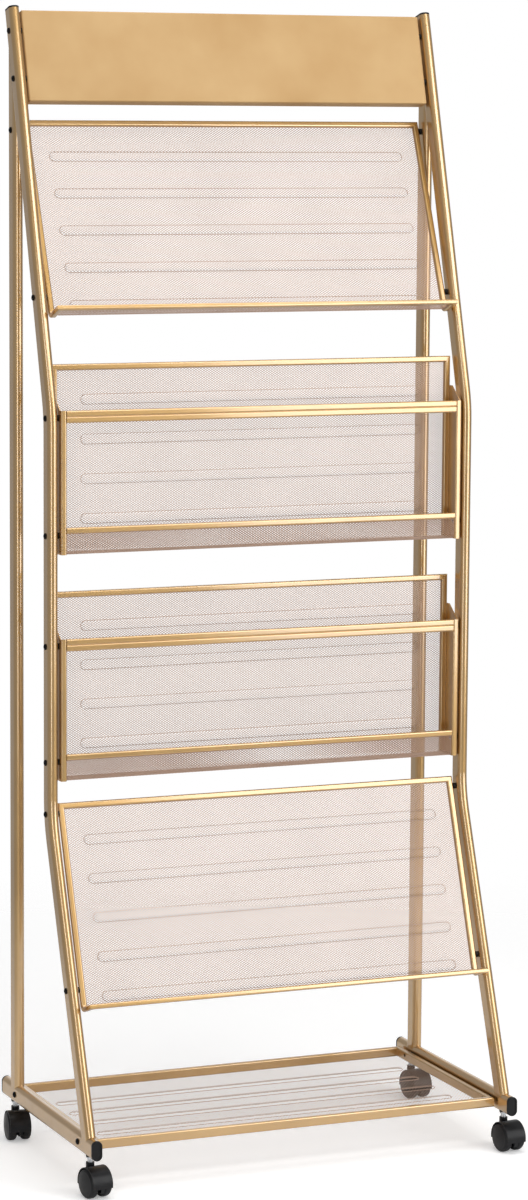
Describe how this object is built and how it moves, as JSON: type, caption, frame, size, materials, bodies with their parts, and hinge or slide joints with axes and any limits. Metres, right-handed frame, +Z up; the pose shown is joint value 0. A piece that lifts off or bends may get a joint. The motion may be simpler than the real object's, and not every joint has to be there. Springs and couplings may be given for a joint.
{
  "type": "brochure stand",
  "caption": "Free-standing brochure stand of bent flat-oval tube with a plain header, sloping mesh shelves, upright mesh pockets, a low mesh tray and swivel casters",
  "frame": {"origin": "on the floor, at the centre of the stand's bounding box in plan", "axes": "+Z up; +Y from the front of the stand to its back; +X to the right for someone facing the front"},
  "size_m": [0.6238, 0.362, 1.5023],
  "materials": {
    "gold_paint": "satin metallic gold",
    "header_paint": "matt gold",
    "gold_mesh": "satin gold on fine mesh",
    "black_plastic": "fine grain",
    "caster_plastic": "satin",
    "black_steel": "black oxide",
    "zinc_steel": "bright zinc"
  },
  "bodies": {
    "stand": {"left_front_post": "gold_paint", "right_front_post": "gold_paint", "left_rear_post": "gold_paint", "right_rear_post": "gold_paint", "left_base_tube": "gold_paint", "right_base_tube": "gold_paint", "post_top_caps": "black_plastic", "base_tube_end_caps": "black_plastic", "header_panel": "header_paint", "upper_shelf_mesh": "gold_mesh", "upper_shelf_top_rail": "gold_paint", "upper_shelf_left_rail": "gold_paint", "upper_shelf_right_rail": "gold_paint", "upper_shelf_lip_rail": "gold_paint", "lower_shelf_mesh": "gold_mesh", "lower_shelf_top_rail": "gold_paint", "lower_shelf_left_rail": "gold_paint", "lower_shelf_right_rail": "gold_paint", "lower_shelf_lip_rail": "gold_paint", "upper_pocket_mesh": "gold_mesh", "upper_pocket_back_rails": "gold_paint", "upper_pocket_left_plate": "gold_paint", "upper_pocket_right_plate": "gold_paint", "upper_pocket_front_upper_rail": "gold_paint", "upper_pocket_front_lower_rail": "gold_paint", "lower_pocket_mesh": "gold_mesh", "lower_pocket_back_rails": "gold_paint", "lower_pocket_left_plate": "gold_paint", "lower_pocket_right_plate": "gold_paint", "lower_pocket_front_upper_rail": "gold_paint", "lower_pocket_front_lower_rail": "gold_paint", "pocket_front_bars": "gold_paint", "tray_mesh": "gold_mesh", "tray_front_rail": "gold_paint", "tray_rear_rail": "gold_paint", "tray_left_rail": "gold_paint", "tray_right_rail": "gold_paint", "shelf_screws": "black_steel", "panel_screws": "black_steel", "screw_spacers": "black_plastic", "plate_nuts": "zinc_steel", "caster_sockets": "black_plastic", "caster_stems": "zinc_steel"},
    "front_left_caster": {"front_left_hood": "caster_plastic", "front_left_axle": "zinc_steel"},
    "front_left_outer_roller": {"front_left_outer_wheel": "caster_plastic"},
    "front_left_inner_roller": {"front_left_inner_wheel": "caster_plastic"},
    "front_right_caster": {"front_right_hood": "caster_plastic", "front_right_axle": "zinc_steel"},
    "front_right_outer_roller": {"front_right_outer_wheel": "caster_plastic"},
    "front_right_inner_roller": {"front_right_inner_wheel": "caster_plastic"},
    "rear_left_caster": {"rear_left_hood": "caster_plastic", "rear_left_axle": "zinc_steel"},
    "rear_left_outer_roller": {"rear_left_outer_wheel": "caster_plastic"},
    "rear_left_inner_roller": {"rear_left_inner_wheel": "caster_plastic"},
    "rear_right_caster": {"rear_right_hood": "caster_plastic", "rear_right_axle": "zinc_steel"},
    "rear_right_outer_roller": {"rear_right_outer_wheel": "caster_plastic"},
    "rear_right_inner_roller": {"rear_right_inner_wheel": "caster_plastic"}
  },
  "joints": [
    {"name": "front_left_swivel", "type": "hinge", "parent": "stand", "child": "front_left_caster", "pos_m": [-0.293, -0.145, 0.043], "axis": [0, 0, 1], "continuous": true},
    {"name": "front_left_outer_spin", "type": "hinge", "parent": "front_left_caster", "child": "front_left_outer_roller", "pos_m": [-0.29074, -0.1578, 0.019], "axis": [0.9848, 0.1736, 0], "continuous": true},
    {"name": "front_left_inner_spin", "type": "hinge", "parent": "front_left_caster", "child": "front_left_inner_roller", "pos_m": [-0.29074, -0.1578, 0.019], "axis": [0.9848, 0.1736, 0], "continuous": true},
    {"name": "front_right_swivel", "type": "hinge", "parent": "stand", "child": "front_right_caster", "pos_m": [0.293, -0.145, 0.043], "axis": [0, 0, 1], "continuous": true},
    {"name": "front_right_outer_spin", "type": "hinge", "parent": "front_right_caster", "child": "front_right_outer_roller", "pos_m": [0.29436, -0.15793, 0.019], "axis": [0.9945, 0.1045, 0], "continuous": true},
    {"name": "front_right_inner_spin", "type": "hinge", "parent": "front_right_caster", "child": "front_right_inner_roller", "pos_m": [0.29436, -0.15793, 0.019], "axis": [0.9945, 0.1045, 0], "continuous": true},
    {"name": "rear_left_swivel", "type": "hinge", "parent": "stand", "child": "rear_left_caster", "pos_m": [-0.293, 0.145, 0.043], "axis": [0, 0, 1], "continuous": true},
    {"name": "rear_left_outer_spin", "type": "hinge", "parent": "rear_left_caster", "child": "rear_left_outer_roller", "pos_m": [-0.29436, 0.13207, 0.019], "axis": [0.9945, -0.1045, 0], "continuous": true},
    {"name": "rear_left_inner_spin", "type": "hinge", "parent": "rear_left_caster", "child": "rear_left_inner_roller", "pos_m": [-0.29436, 0.13207, 0.019], "axis": [0.9945, -0.1045, 0], "continuous": true},
    {"name": "rear_right_swivel", "type": "hinge", "parent": "stand", "child": "rear_right_caster", "pos_m": [0.293, 0.145, 0.043], "axis": [0, 0, 1], "continuous": true},
    {"name": "rear_right_outer_spin", "type": "hinge", "parent": "rear_right_caster", "child": "rear_right_outer_roller", "pos_m": [0.29436, 0.13207, 0.019], "axis": [0.9945, 0.1045, 0], "continuous": true},
    {"name": "rear_right_inner_spin", "type": "hinge", "parent": "rear_right_caster", "child": "rear_right_inner_roller", "pos_m": [0.29436, 0.13207, 0.019], "axis": [0.9945, 0.1045, 0], "continuous": true}
  ]
}
